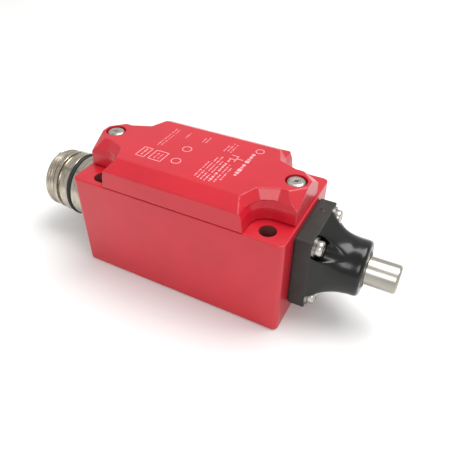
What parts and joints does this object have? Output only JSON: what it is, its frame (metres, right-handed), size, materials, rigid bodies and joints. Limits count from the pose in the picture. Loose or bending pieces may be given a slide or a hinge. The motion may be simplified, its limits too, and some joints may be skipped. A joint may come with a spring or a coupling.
{
  "type": "plunger limit switch",
  "caption": "Metal-cased safety limit switch with an end plunger, a screwed cover, through-holes for mounting and a round threaded connector.",
  "frame": {"origin": "centre of the housing's flat mounting face", "axes": "+X from the housing towards the plunger, +Z out of the mounting face through the cover, +Y across the width"},
  "size_m": [0.1357, 0.04, 0.0465],
  "materials": {
    "red_casting": "powder-coated die casting, satin",
    "black_head": "black moulding, semi-gloss",
    "seal_rubber": "moulded nitrile",
    "zinc_screw": "zinc-plated steel",
    "spring_steel": "spring steel",
    "plated_bush": "turned steel",
    "ground_steel": "ground stainless steel",
    "insulator": "glass-filled moulding",
    "carriage_plastic": "natural moulding",
    "contact_brass": "pressed brass strip",
    "silver_tip": "silver contact button",
    "earth_green": "green-marked earth screw",
    "nickel_shell": "nickel-plated brass",
    "pin_gold": "gold-flashed pin",
    "lead_insulation": "PVC insulation"
  },
  "bodies": {
    "case": {"housing": "red_casting", "cover": "red_casting", "cover_gasket": "seal_rubber", "cover_screws": "zinc_screw", "head_gasket": "seal_rubber", "head_body": "black_head", "head_screws": "zinc_screw", "head_spring_washers": "spring_steel", "guide_bush": "plated_bush", "wiper_seal": "seal_rubber", "return_spring": "spring_steel", "spring_seat": "spring_steel", "rod_seal": "seal_rubber", "contact_base": "insulator", "block_feet": "insulator", "contact_lid": "insulator", "block_screws": "zinc_screw", "fixed_tips": "silver_tip", "fixed_contacts_opening": "contact_brass", "fixed_contacts_closing": "contact_brass", "terminal_clamps": "zinc_screw", "terminal_screws": "zinc_screw", "ground_screw": "earth_green", "ground_washer": "contact_brass", "connector_shell": "nickel_shell", "connector_insert": "insulator", "connector_pins": "pin_gold", "connector_o_ring": "seal_rubber", "connector_seal": "seal_rubber", "lead_wires": "lead_insulation"},
    "plunger": {"plunger": "ground_steel", "retaining_ring": "spring_steel", "spring_cup": "spring_steel", "push_rod": "ground_steel", "contact_carriage": "carriage_plastic", "opening_bridges": "contact_brass", "opening_tips": "silver_tip", "contact_springs": "spring_steel"},
    "closing_contacts": {"closing_bridges": "contact_brass", "closing_tips": "silver_tip"}
  },
  "joints": [
    {"name": "plunger_slide", "type": "slide", "parent": "case", "child": "plunger", "axis": [-1, 0, 0], "range_m": [0, 0.006], "stiffness_N_per_m": 1000, "springref_m": -0.008, "deforming": ["return_spring", "contact_springs"]},
    {"name": "closing_contacts_slide", "type": "slide", "parent": "case", "child": "closing_contacts", "axis": [-1, 0, 0], "range_m": [0, 0.003]}
  ],
  "couplings": [
    {"joint": "closing_contacts_slide", "follows": "plunger_slide", "ratio": 0.5}
  ]
}
